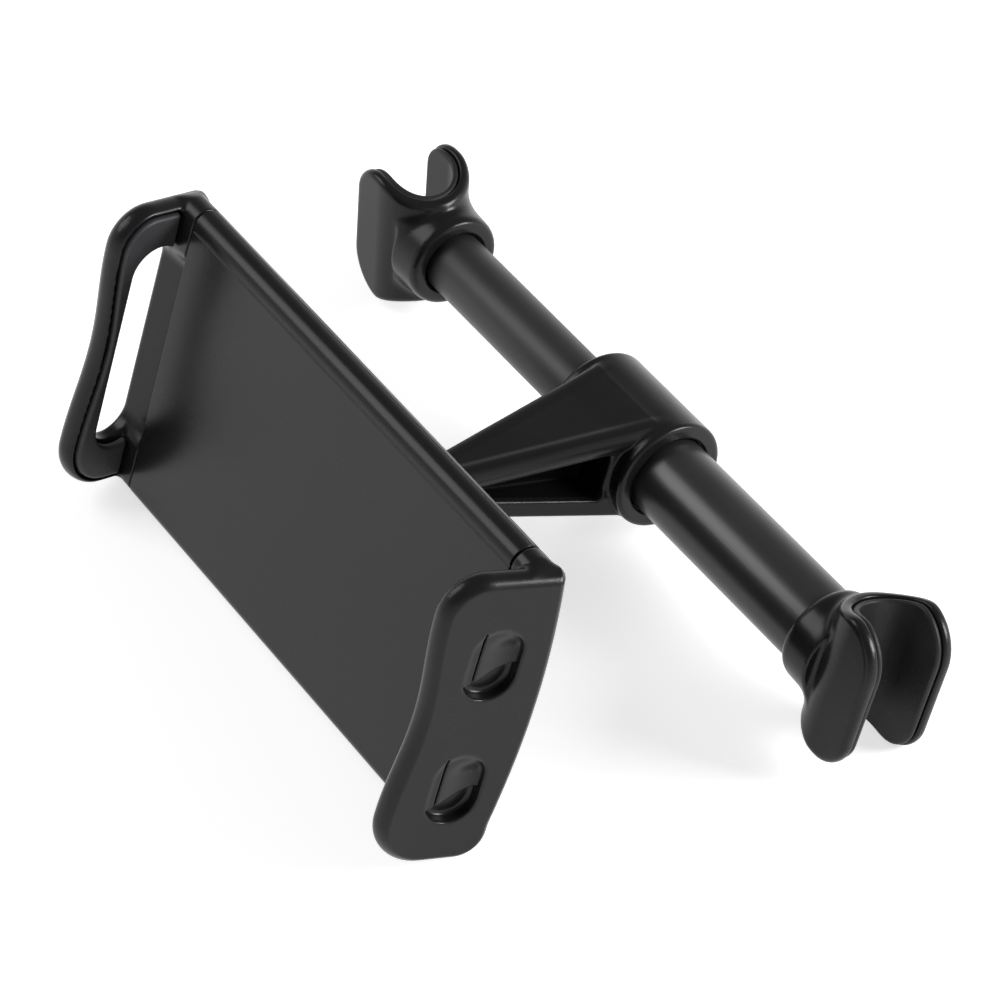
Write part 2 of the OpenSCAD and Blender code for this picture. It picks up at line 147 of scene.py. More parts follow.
def turned(profile: Array, axis: str = "x", centre: Sequence[float] = (0, 0, 0), sides: int = 128,
           closed: bool = True, flute: Callable[[Array, Array], Array] | None = None) -> Surface:
    """Turns a profile of (distance along the axis, radius) round an axis.

    Point (i, j) lies at the profile's distance i along the axis, and its radius i is
    turned by the angle j, a full circle over the number of sides.

    Args:
        profile: array of shape (k, 2).
        axis: "x" for the bar, "y" for the ball joint.
        centre: point on the axis where the distance is nought.
        sides: number of steps round the circle.
        closed: whether the profile is a closed loop, as in a tube, or ends on the axis.
        flute: gives a change of radius from the radius and the angle.

    Returns:
        Vertices and faces.
    """
    a = np.linspace(0, 2 * math.pi, sides, endpoint=False)[None, :]
    along = profile[:, :1] + 0 * a
    r = profile[:, 1:] + 0 * a
    if flute is not None:
        r = r + flute(r, a)
    c, s = r * np.cos(a), r * np.sin(a)
    stack = (along, c, s) if axis == "x" else (s, along, c)
    rings = np.stack(stack, axis=-1) + np.asarray(centre, float)
    return loft(rings, caps=False, closed=closed)


def joined(parts: Iterable[Surface]) -> Surface:
    """Puts several surfaces into one list of vertices and faces.

    Args:
        parts: surfaces to join.

    Returns:
        Vertices and faces of all parts.
    """
    points, faces, start = [], [], 0
    for p, f in parts:
        points.append(p)
        faces += [[i + start for i in face] for face in f]
        start += len(p)
    return np.concatenate(points), faces


def soft_max(a: Array, b: Array, k: float) -> Array:
    """Larger of two distances, with the crease between them rounded over a width k.

    Args:
        a, b: the distances.
        k: width of the rounding.

    Returns:
        The rounded maximum: max(a, b) + h * h * k / 4 with h = max(k - |a - b|, 0) / k.
    """
    h = np.maximum(k - np.abs(a - b), 0) / k
    return np.maximum(a, b) + h * h * k / 4


def soft_min(a: Array, b: Array, k: float) -> Array:
    """Smaller of two distances, with a fillet of width k: the negative of soft_max of negatives."""
    return -soft_max(-a, -b, k)


def smooth_step(t: Array) -> Array:
    """Cubic step 3 t^2 - 2 t^3 of t held between nought and one."""
    t = np.clip(t, 0, 1)
    return t * t * (3 - 2 * t)


def polygon_distance(loop: Array, u: Array, v: Array) -> Array:
    """Signed distance to a closed polygon: least distance to an edge, negative inside.

    Args:
        loop: corners, shape (k, 2).
        u, v: coordinates of the points.

    Returns:
        Distances in the broadcast shape of u and v.
    """
    best = np.full(np.broadcast(u, v).shape, np.inf)
    inside = np.zeros(best.shape, bool)
    for (ax, ay), (bx, by) in zip(loop, np.roll(loop, -1, axis=0)):
        ex, ey = bx - ax, by - ay
        if ex * ex + ey * ey < 1e-12:
            continue
        t = np.clip(((u - ax) * ex + (v - ay) * ey) / (ex * ex + ey * ey), 0, 1)
        best = np.minimum(best, (u - ax - t * ex) ** 2 + (v - ay - t * ey) ** 2)
        if abs(ey) > 1e-12:
            inside ^= ((ay > v) != (by > v)) & (u < ex * (v - ay) / ey + ax)
    return np.where(inside, -1.0, 1.0) * np.sqrt(best)


def rounded_box(u: Array, v: Array, half_u: Array | float, half_v: Array | float, r: float) -> Array:
    """Distance to a rectangle with round corners, centred on nought.

    Args:
        u, v: coordinates of the points.
        half_u, half_v: half the size along each.
        r: corner radius.

    Returns:
        Signed distance.
    """
    qu, qv = np.abs(u) - half_u + r, np.abs(v) - half_v + r
    return np.hypot(np.maximum(qu, 0), np.maximum(qv, 0)) + np.minimum(np.maximum(qu, qv), 0) - r


def surface_net(shape: Distance, low: Sequence[float], high: Sequence[float], step: float) -> Surface:
    """Skin of a solid given by its signed distance.

    The distance is sampled on a grid. Each cell that the surface crosses gets one
    vertex, the mean of the crossings on its edges, and each crossed grid edge gets
    one quad between the four cells round it. A vertex then moves along the slope
    by its own distance, which puts it on the surface.

    Args:
        shape: signed distance, negative inside.
        low, high: lowest and highest corner of the grid.
        step: spacing of the grid.

    Returns:
        Vertices and faces.
    """
    axes = [np.arange(a, b + step, step) for a, b in zip(low, high)]
    d = shape(axes[0][:, None, None], axes[1][None, :, None], axes[2][None, None, :])
    d = np.where(d == 0, 1e-9, d)
    size = np.array(d.shape)
    total = np.zeros((3, size.prod()))
    count = np.zeros(size.prod())
    cells = []
    for axis in range(3):
        lower = tuple(slice(0, -1) if k == axis else slice(None) for k in range(3))
        upper = tuple(slice(1, None) if k == axis else slice(None) for k in range(3))
        a, b = d[lower], d[upper]
        place = np.argwhere((a < 0) != (b < 0))
        va, vb = a[tuple(place.T)], b[tuple(place.T)]
        point = place.astype(float)
        point[:, axis] += va / (va - vb)
        u, v = (axis + 1) % 3, (axis + 2) % 3
        corners = []
        for du, dv in ((0, 0), (1, 0), (1, 1), (0, 1)):
            cell = place.copy()
            cell[:, u] -= du
            cell[:, v] -= dv
            index = np.ravel_multi_index(tuple(cell.T), tuple(size))
            corners.append(index)
            count += np.bincount(index, minlength=size.prod())
            for k in range(3):
                total[k] += np.bincount(index, weights=point[:, k], minlength=size.prod())
        quad = np.stack(corners, axis=1)
        quad[va > 0] = quad[va > 0][:, ::-1]
        cells.append(quad)
    used = np.flatnonzero(count)
    number = np.zeros(size.prod(), int)
    number[used] = np.arange(len(used))
    points = (total[:, used] / count[used]).T * step + [axis[0] for axis in axes]
    h = step * 0.4
    x, y, z = points.T
    for _ in range(2):
        slope = np.stack([shape(x + h, y, z) - shape(x - h, y, z), shape(x, y + h, z) - shape(x, y - h, z),
                          shape(x, y, z + h) - shape(x, y, z - h)], axis=1) / (2 * h)
        length = np.maximum((slope ** 2).sum(axis=1, keepdims=True), 0.25)
        move = np.clip(shape(x, y, z)[:, None] / length, -0.5 * step, 0.5 * step) * slope
        points = points - move
        x, y, z = points.T
    return points, number[np.concatenate(cells)].tolist()


def add_piece(name: str, surface: Surface, finish: "Finish", body: Body, *nodes: str,
              crease: float = 32.0, bevel: float = 0.0, flip: bool = False) -> bpy.types.Object:
    """Makes an object from a surface and gives it its finish, its body and its solids.

    Doubled vertices are merged first.

    Args:
        name: name of the object.
        surface: vertices in millimetres from the hub's middle, and faces.
        finish: what it is made of.
        body: the body that it rides on.
        nodes: names of the solids that it replaces.
        crease: angle in degrees above which an edge is sharp; nought keeps all smooth.
        bevel: width in millimetres of the bevel on sharp edges.
        flip: whether the surface was mirrored and its faces turn inside out.

    Returns:
        The object, in the row frame.
    """
    points, faces = surface
    mesh = bpy.data.meshes.new(name)
    mesh.from_pydata(to_row(points), [], faces)
    work = bmesh.new()
    work.from_mesh(mesh)
    bmesh.ops.remove_doubles(work, verts=work.verts, dist=MERGE)
    if crease:
        bmesh.ops.recalc_face_normals(work, faces=work.faces)
    elif flip:
        bmesh.ops.reverse_faces(work, faces=work.faces)
    work.to_mesh(mesh)
    work.free()
    mesh.polygons.foreach_set("use_smooth", np.ones(len(mesh.polygons), bool))
    if crease:
        mesh.set_sharp_from_angle(angle=math.radians(crease))
    mesh.update()
    piece = bpy.data.objects.new(name, mesh)
    bpy.context.scene.collection.objects.link(piece)
    if bevel:
        edge = piece.modifiers.new("soft_edges", "BEVEL")
        edge.width = bevel / 1000
        edge.segments = 3
        edge.limit_method = "ANGLE"
        edge.angle_limit = math.radians(BEVEL_ANGLE)
        edge.harden_normals = True
    mesh.materials.append(finish.material())
    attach(piece, body.value)
    if nodes:
        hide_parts(*nodes)
    log.info("%s: %d faces, %s, rides on %s", name, len(mesh.polygons), finish.name, body.value)
    return piece


def set_inputs(node: bpy.types.Node, values: dict) -> None:
    """Sets the values of a node's inputs, given by name or number."""
    for name, value in values.items():
        node.inputs[name].default_value = value


def add_node(tree: bpy.types.NodeTree, kind: str, inputs: dict | None = None, **settings: str) -> bpy.types.Node:
    """Adds a shader node.

    Args:
        tree: where the node goes.
        kind: its type, without the leading ShaderNode.
        inputs: values of its inputs.
        settings: its properties, which are set before the inputs.

    Returns:
        The node.
    """
    node = tree.nodes.new("ShaderNode" + kind)
    for name, value in settings.items():
        setattr(node, name, value)
    set_inputs(node, inputs or {})
    return node


def connect(tree: bpy.types.NodeTree, *links: tuple) -> None:
    """Makes links, each given as (node, output, node, input)."""
    for source, out, target, into in links:
        tree.links.new(source.outputs[out], target.inputs[into])


def pattern_group(name: str, inputs: dict[str, float]) -> bpy.types.NodeTree:
    """Starts a shader group with the given inputs and the outputs Height and Cloud."""
    group = bpy.data.node_groups.new(name, "ShaderNodeTree")
    for label, value in inputs.items():
        group.interface.new_socket(name=label, in_out="INPUT", socket_type="NodeSocketFloat").default_value = value
    for label in ("Height", "Cloud"):
        group.interface.new_socket(name=label, in_out="OUTPUT", socket_type="NodeSocketFloat")
    return group


def mottle_group() -> bpy.types.NodeTree:
    """Shader group for moulded surfaces: a grain height and a slow cloud.

    Returns:
        The group, with inputs Grain Size and Cloud Size and outputs Height and Cloud.
    """
    found = bpy.data.node_groups.get("moulded_mottle")
    if found:
        return found
    group = pattern_group("moulded_mottle", {"Grain Size": 3000.0, "Cloud Size": 40.0})
    source, sink = group.nodes.new("NodeGroupInput"), group.nodes.new("NodeGroupOutput")
    place = add_node(group, "TexCoord")
    grain = add_node(group, "TexVoronoi")
    fine = add_node(group, "TexNoise", {"Detail": 2.0})
    cloud = add_node(group, "TexNoise", {"Detail": 4.0, "Roughness": 0.6})
    mix = add_node(group, "Math", {1: 0.6}, operation="MULTIPLY_ADD")
    spread = add_node(group, "MapRange", {"From Min": 0.2, "From Max": 0.8}, interpolation_type="SMOOTHSTEP")
    connect(group, *((place, "Object", node, "Vector") for node in (grain, fine, cloud)),
            (source, "Grain Size", grain, "Scale"), (source, "Grain Size", fine, "Scale"),
            (source, "Cloud Size", cloud, "Scale"), (grain, "Distance", mix, 0), (fine, "Fac", mix, 2),
            (cloud, "Fac", spread, "Value"), (mix, 0, sink, "Height"), (spread, "Result", sink, "Cloud"))
    return group


def drawn_group() -> bpy.types.NodeTree:
    """Shader group for drawn metal: fine lines that run along X, and a slow cloud.

    Returns:
        The group, with inputs Line Size and Cloud Size and outputs Height and Cloud.
    """
    found = bpy.data.node_groups.get("drawn_lines")
    if found:
        return found
    group = pattern_group("drawn_lines", {"Line Size": 2500.0, "Cloud Size": 60.0})
    source, sink = group.nodes.new("NodeGroupInput"), group.nodes.new("NodeGroupOutput")
    place = add_node(group, "TexCoord")
    stretch = add_node(group, "Mapping", {"Scale": (0.015, 1.0, 1.0)})
    lines = add_node(group, "TexNoise", {"Detail": 3.0})
    cloud = add_node(group, "TexNoise", {"Detail": 3.0})
    connect(group, (place, "Object", stretch, "Vector"), (stretch, "Vector", lines, "Vector"),
            (place, "Object", cloud, "Vector"), (source, "Line Size", lines, "Scale"),
            (source, "Cloud Size", cloud, "Scale"), (lines, "Fac", sink, "Height"), (cloud, "Fac", sink, "Cloud"))
    return group


class Skin(Enum):
    """The kinds of surface pattern that a finish can have."""

    MOULDED = "moulded"
    DRAWN = "drawn"


@dataclass(frozen=True)
class Finish:
    """What a piece is made of: colour, gloss and surface pattern.

    Colours are linear. Grain and cloud sizes are cycles per metre.
    """

    name: str
    slot: str
    colour: tuple[float, float, float]
    pale: tuple[float, float, float]
    rough_low: float
    rough_high: float
    grain: float
    bump: float
    cloud: float
    metallic: float = 0.0
    specular: float = 0.5
    skin: Skin = Skin.MOULDED

    def material(self) -> bpy.types.Material:
        """Builds the material once and gives it back.

        Returns:
            The material for this finish.
        """
        found = bpy.data.materials.get(self.name)
        if found:
            return found
        made = bpy.data.materials.new(self.name)
        made.use_nodes = True
        tree = made.node_tree
        shader = tree.nodes["Principled BSDF"]
        set_inputs(shader, {"Metallic": self.metallic, "Specular IOR Level": self.specular})
        moulded = self.skin is Skin.MOULDED
        pattern = tree.nodes.new("ShaderNodeGroup")
        pattern.node_tree = mottle_group() if moulded else drawn_group()
        set_inputs(pattern, {"Grain Size" if moulded else "Line Size": self.grain, "Cloud Size": self.cloud})
        tint = add_node(tree, "Mix", {"A": (*self.colour, 1), "B": (*self.pale, 1)}, data_type="RGBA")
        gloss = add_node(tree, "MapRange", {"To Min": self.rough_low, "To Max": self.rough_high})
        bump = add_node(tree, "Bump", {"Strength": self.bump, "Distance": BUMP_HEIGHT})
        connect(tree, (pattern, "Cloud", tint, "Factor"), (pattern, "Cloud", gloss, "Value"),
                (pattern, "Height", bump, "Height"), (tint, "Result", shader, "Base Color"),
                (gloss, "Result", shader, "Roughness"), (bump, "Normal", shader, "Normal"))
        return made


BLACK_ABS = Finish("satin_black_plastic", "black_abs", (0.0085, 0.0085, 0.0094), (0.0108, 0.0108, 0.0119),
                   0.22, 0.3, 2600.0, 0.2, 45.0, specular=0.26)
TRAY_ABS = Finish("semi_gloss_tray_plastic", "tray_abs", (0.0085, 0.0085, 0.0095), (0.011, 0.011, 0.0121),
                  0.24, 0.3, 2200.0, 0.12, 30.0, specular=0.26)
# Painted shade: a near-black colour, darker than the satin black plastic, that stands in for the shade deep in the
# arm's side recesses.
PAINTED_SHADE_RECESS_ABS = Finish("painted_shade_recess_plastic", "black_abs", (0.003, 0.003, 0.0034), (0.004, 0.004, 0.0045),
                    0.5, 0.6, 2600.0, 0.2, 45.0, specular=0.06)
PAD_RUBBER = Finish("matt_grip_rubber", "soft_rubber", (0.042, 0.042, 0.045), (0.052, 0.052, 0.055),
                    0.46, 0.56, 1800.0, 0.6, 80.0, specular=0.4)
LINER_RUBBER = Finish("dark_liner_rubber", "soft_rubber", (0.016, 0.016, 0.0175), (0.021, 0.021, 0.0228),
                      0.42, 0.52, 1800.0, 0.6, 80.0, specular=0.3)
NYLON = Finish("black_bush_nylon", "nylon", (0.008, 0.008, 0.0085), (0.012, 0.012, 0.0125),
               0.45, 0.6, 2400.0, 0.3, 60.0, specular=0.3)
TUBE_METAL = Finish("anodised_tube_metal", "tube_metal", (0.052, 0.052, 0.053), (0.068, 0.068, 0.07),
                    0.26, 0.34, 2500.0, 0.3, 60.0, metallic=0.6, skin=Skin.DRAWN)
SLEEVE_METAL = Finish("satin_sleeve_metal", "tube_metal", (0.046, 0.046, 0.047), (0.06, 0.06, 0.062),
                      0.4, 0.48, 2500.0, 0.3, 60.0, metallic=0.6, skin=Skin.DRAWN)
STEEL = Finish("zinc_plated_steel", "steel", (0.42, 0.42, 0.43), (0.55, 0.55, 0.57),
               0.25, 0.4, 2500.0, 0.3, 70.0, metallic=1.0, skin=Skin.DRAWN)


def tube_ring(x0: float, x1: float, outer: float, bore: float, round_off: float = 0.35) -> Array:
    """Closed profile of a ring along the bar, with its four corners rounded.

    Args:
        x0, x1: start and end along the bar.
        outer, bore: outside and inside diameter.
        round_off: corner radius.

    Returns:
        Array of (distance, radius).
    """
    r, ro, ri = round_off, outer / 2, bore / 2
    r = min(r, (ro - ri) * 0.45)
    return np.concatenate([
        arc(x0 + r, ro - r, r, 180, 90, 5), arc(x1 - r, ro - r, r, 90, 0, 5),
        arc(x1 - r, ri + r, r, 0, -90, 5), arc(x0 + r, ri + r, r, -90, -180, 5)])


def bar_ring(name: str, ends: Sequence[float], outer: float, bore: float, finish: Finish, body: Body,
             node: str) -> None:
    """Adds a ring with rounded corners along the bar.

    Args:
        name: name of the object.
        ends: start and end along the bar.
        outer, bore: outside and inside diameter.
        finish, body, node: as in add_piece.
    """
    add_piece(name, turned(tube_ring(*ends, outer, bore)), finish, body, node, crease=50)


@dataclass
class SprungBar:
    """The telescoping bar: two tubes, their bushes and the end plugs."""

    outer_d: float = 18.0
    outer_wall: float = 1.5
    inner_d: float = 14.0
    inner_wall: float = 1.2
    hub_end: float = 14.0
    mouth: float = 67.3
    socket: float = 4.2
    bush_len: float = 10.0
    slide_len: float = 12.0
    gap: float = 0.3
    run_fit: float = 0.1
    plug_len: float = 16.0
    plug_edge: float = 0.6
    plug_floor: float = 3.0
    drill_r: float = 1.55

    def end_plug(self, side: Side, d: float) -> None:
        """A plug pressed into a tube's end, drilled for the hook screw.

        Args:
            side: which end of the bar.
            d: diameter of the plug.
        """
        way = side.value
        end = (self.mouth + self.socket) * way
        start = end - self.plug_len * way
        floor = start + self.plug_floor * way
        profile = np.array([[start, 0.0], [start, d / 2 - self.plug_edge], [start + self.plug_edge * way, d / 2],
                            [end, d / 2], [end, self.drill_r], [floor, self.drill_r], [floor, 0.0]])
        name = f"{side.name.lower()}_end_plug"
        add_piece(name + "_turned", turned(profile, closed=False, sides=64), NYLON,
                  Body.BAR if side is Side.RIGHT else Body.SLIDER, name, bevel=0.2)

    def build(self) -> None:
        """Makes the tubes, each with the bush that guides the other, and the end plugs."""
        outer_bore = self.outer_d - 2 * self.outer_wall
        inner_bore = self.inner_d - 2 * self.inner_wall
        start, end = -self.hub_end, self.mouth + self.socket
        right = start + self.bush_len + self.gap + self.slide_len
        bar_ring("outer_tube_skin", (start, end), self.outer_d, outer_bore, TUBE_METAL, Body.BAR, "outer_tube")
        bar_ring("mouth_bush_ring", (start + self.gap, start + self.bush_len), outer_bore,
                 self.inner_d + 2 * self.run_fit, NYLON, Body.BAR, "mouth_bush")
        bar_ring("inner_tube_skin", (-end, right), self.inner_d, inner_bore, SLEEVE_METAL, Body.SLIDER, "inner_tube")
        bar_ring("slide_bush_ring", (right - self.slide_len, right), outer_bore - 2 * self.run_fit, self.inner_d,
                 NYLON, Body.SLIDER, "slide_bush")
        self.end_plug(Side.RIGHT, outer_bore)
        self.end_plug(Side.LEFT, inner_bore)


@dataclass
class PostHook:
    """A lined U hook on a round collar, for one headrest post.

    It is worked out with the collar's mouth at nought and the post along Z, then
    turned about the bar.
    """

    side: Side
    bore: float
    turn: float = 0.0
    mouth: float = 67.3
    reach: float = 15.8
    tip: float = 24.4
    post_r: float = 7.0
    liner_t: float = 1.6
    wall: float = 2.2
    high: float = 16.3
    back_high: float = 13.3
    tip_r: float = 10.5
    toe_r: float = 7.0
    collar_r: float = 10.8
    collar_back: float = 9.0
    shift: float = 0.0
    rise_from: float = 5.1
    socket: float = 4.5
    socket_fit: float = 0.1
    bell: float = 0.9
    chamfer: float = 0.7
    flare: float = 0.4
    screw_r: float = 1.6
    head_r: float = 3.1
    head_from: float = 5.6
    step: float = 0.28

    def plan(self, x: Array, y: Array, r: float) -> Array:
        """Distance to a U's filled plan: a half circle of radius r round the post, then straight on."""
        return np.hypot(np.minimum(x - self.reach, 0), y - self.shift) - r

    def half_height(self, x: Array) -> Array:
        """Half height of the U: low at its back, rising smoothly to its arms (a cubic step)."""
        t = (x - self.rise_from) / (self.reach + 1.0 - self.rise_from)
        return self.back_high + (self.high - self.back_high) * smooth_step(t)

    def side_view(self, x: Array, z: Array, inset: float) -> Array:
        """Distance to the side view: the half height up and down, and round corners at the tips."""
        r = np.where(z > 0, self.tip_r, self.toe_r) - inset
        qx = x - (self.tip - inset - r)
        qz = np.abs(z) - (self.half_height(x) - inset - r)
        return np.hypot(np.maximum(qx, 0), np.maximum(qz, 0)) + np.minimum(np.maximum(qx, qz), 0) - r

    def shell(self, x: Array, y: Array, z: Array) -> Array:
        """Distance to the shell: the U softly joined to the collar, less the channel and the tube's bore."""
        lined = self.post_r + self.liner_t
        body = soft_max(self.plan(x, y, lined + self.wall), self.side_view(x, z, 0), 1.6)
        radius = np.hypot(y, z)
        side = radius - self.collar_r - self.flare * np.clip(x / 8, 0, 1)
        collar = soft_max(side, np.maximum(-x, x - self.collar_back), 0.6)
        collar = soft_max(collar, (radius - self.collar_r - x) * 0.707 + self.chamfer, 0.8)
        body = soft_min(body, collar, 2.4)
        body = soft_max(body, -x, 0.6)
        body = soft_max(body, -self.plan(x, y, lined), 0.7)
        tube = radius - self.bore / 2 - self.socket_fit
        hole = soft_max(tube, x - self.socket, 0.2)
        mouth = np.maximum(tube - self.bell * np.clip(1 - x / self.bell, 0, 1.5), x - self.bell)
        screw = np.maximum(radius - self.screw_r, x - self.reach)
        head = np.maximum(radius - self.head_r, np.maximum(self.head_from - x, x - self.collar_back))
        body = soft_max(body, -hole, 0.3)
        return np.maximum(np.maximum(np.maximum(body, -mouth), -screw), -head)

    def liner(self, x: Array, y: Array, z: Array) -> Array:
        """Distance to the liner: a thinner U inside the shell, with rounded rims."""
        outer = soft_max(self.plan(x, y, self.post_r + self.liner_t - 0.05), self.side_view(x, z, 0.4), 1.1)
        return soft_max(outer, -self.plan(x, y, self.post_r), 0.9)

    def place(self, points: Array) -> Array:
        """Sets local points on the bar: mirrored at the left end, turned about X and moved.

        Args:
            points: array of shape (n, 3).

        Returns:
            Points from the hub's middle.
        """
        x, y, z = points.T * np.array([self.side.value, 1, self.side.value])[:, None]
        c, s = math.cos(math.radians(self.turn)), math.sin(math.radians(self.turn))
        return np.stack([x + self.side.value * self.mouth, y * c - z * s, y * s + z * c], axis=1)

    def build(self) -> None:
        """Makes the shell and the liner."""
        name = self.side.name.lower() + "_hook"
        body = Body.RIGHT_HOOK if self.side is Side.RIGHT else Body.LEFT_HOOK
        points, faces = surface_net(self.shell, (-0.6, -12.4, -17.2), (25.2, 13.2, 17.2), self.step)
        add_piece(name + "_moulding", (self.place(points), faces), BLACK_ABS, body, name + "_shell", crease=0)
        points, faces = surface_net(self.liner, (6.2, -9.4, -16.8), (25.2, 10.4, 16.8), self.step)
        add_piece(name + "_lining", (self.place(points), faces), LINER_RUBBER, body, name + "_liner", crease=0)


@dataclass
class WedgeArm:
    """The hub on the bar and the arm that tapers from it to the ball joint."""

    hub_half: float = 14.0
    hub_r: float = 12.7
    bush_d: float = 20.8
    bush_bore: float = 18.2
    bush_recess: float = 1.4
    wide: float = 13.1
    neck: float = 5.0
    length: float = 46.0
    top_hub: float = 12.1
    top_neck: float = 2.15
    low_hub: float = -10.7
    low_neck: float = -8.7
    plate: float = 4.9
    rail: float = 4.1
    web: float = 1.6
    bead_r: float = 2.45
    panel_drop: float = 0.22
    side_set: float = 0.7
    mouth_r: float = 9.55
    mouth_len: float = 1.5
    bush_start: float = 3.0
    nose: float = 4.0
    nose_drop: float = 0.6
    spigot_r: float = 2.05
    spigot_end: float = 43.9
    step: float = 0.3

    def half_width(self, y: Array) -> Array:
        """Half width of the arm in plan: straight from the hub to the neck."""
        return self.wide + (self.wide - self.neck) * np.clip(y, -self.length, 0) / self.length

    def nose_in(self, y: Array) -> Array:
        """How far the nose in front of the neck is drawn in, above and below."""
        return self.nose_drop * np.clip((-y - self.length) / self.nose, 0, 1)

    def top(self, y: Array) -> Array:
        """Level of the top: flat over the hub, then a straight fall to the neck, and a small nose."""
        t = np.clip((-y - 5) / (self.length - 5), 0, 1)
        return self.top_hub + (self.top_neck - self.top_hub) * t - self.nose_in(y)

    def low(self, y: Array) -> Array:
        """Level of the underside: a slight rise to the neck."""
        return self.low_hub + (self.low_neck - self.low_hub) * np.clip(-y / self.length, 0, 1) + self.nose_in(y)

    def recess(self, x: Array, y: Array, z: Array) -> Array:
        """Distance to the side recesses between top plate and bottom rail, outside the web."""
        ceiling = self.top(y) - self.plate
        floor = self.low(y) + self.rail
        tall = np.maximum(z - ceiling, floor - z)
        deep = soft_max(np.maximum(y + 13.6, -y - 41.5 - 0.28 * (4.6 - z)), tall, 1.6)
        return soft_max(deep, self.web - np.abs(x), 0.8)

    def solid(self, x: Array, y: Array, z: Array) -> Array:
        """Distance to the arm.

        The wedge less its side recesses, with a round bead along both top edges, is
        softly joined to the hub, whose bore narrows to a lip in front of each bush.
        """
        plan = (np.abs(x) - self.half_width(y) + self.side_set * np.clip((z + 5.5) / 2, 0, 1)) * 0.988
        drop = self.panel_drop * np.clip((-y - 7) / 7, 0, 1)
        side = np.maximum((z - self.top(y) + drop) * 0.976, self.low(y) - z)
        wedge = soft_max(soft_max(plan, side, 1.0), np.maximum(-y - self.length - self.nose, y), 1.6)
        wedge = soft_max(wedge, -self.recess(x, y, z), 0.6)
        r = self.bead_r
        rod = np.hypot(np.abs(x) - self.half_width(y) + r, (z - self.top(y)) * 0.976 + r) - r
        rod = soft_max(rod, np.maximum(-y - self.length - 1.0, y + 2.0), 1.0)
        wedge = soft_min(wedge, rod, 0.6)
        radius = np.hypot(y, z)
        hub = soft_max(radius - self.hub_r, np.abs(x) - self.hub_half, 1.2)
        body = soft_min(wedge, hub, 0.6)
        t = np.clip((np.abs(x) - self.hub_half + self.mouth_len) / 0.2, 0, 1)
        bore = radius - (self.bush_d / 2 - (self.bush_d / 2 - self.mouth_r) * t)
        spigot = np.maximum(np.hypot(x, z - BALL[2]) - self.spigot_r, y + self.spigot_end)
        return np.maximum(np.maximum(body, -bore), -spigot)

    def build(self) -> None:
        """Makes the arm, with painted shade on the faces deep in its side recesses, and the two bushes in its hub."""
        surface = surface_net(self.solid, (-14.8, -50.8, -13.0), (14.8, 13.0, 13.0), self.step)
        arm = add_piece("wedge_arm_moulding", surface, BLACK_ABS, Body.ARM, "wedge_arm", crease=0)
        arm.data.materials.append(PAINTED_SHADE_RECESS_ABS.material())
        # Faces deep in the side recesses, away from the edges, get the painted-shade finish in place of the plastic's
        # own colour.
        centre = np.zeros(3 * len(arm.data.polygons))
        arm.data.polygons.foreach_get("center", centre)
        x, y, z = (centre.reshape(-1, 3) * 1000 + (POST_X, 0.0, 0.0)).T
        deep = (self.recess(x, y, z) < 0.25) & (np.abs(x) < self.half_width(y) - 1.6)
        arm.data.polygons.foreach_set("material_index", deep.astype(int))
        for side in Side:
            ends = sorted((self.bush_start * side.value, (self.hub_half - self.bush_recess) * side.value))
            name = "hub_bush_" + side.name.lower()
            bar_ring(name + "_ring", ends, self.bush_d, self.bush_bore, NYLON, Body.ARM, name)


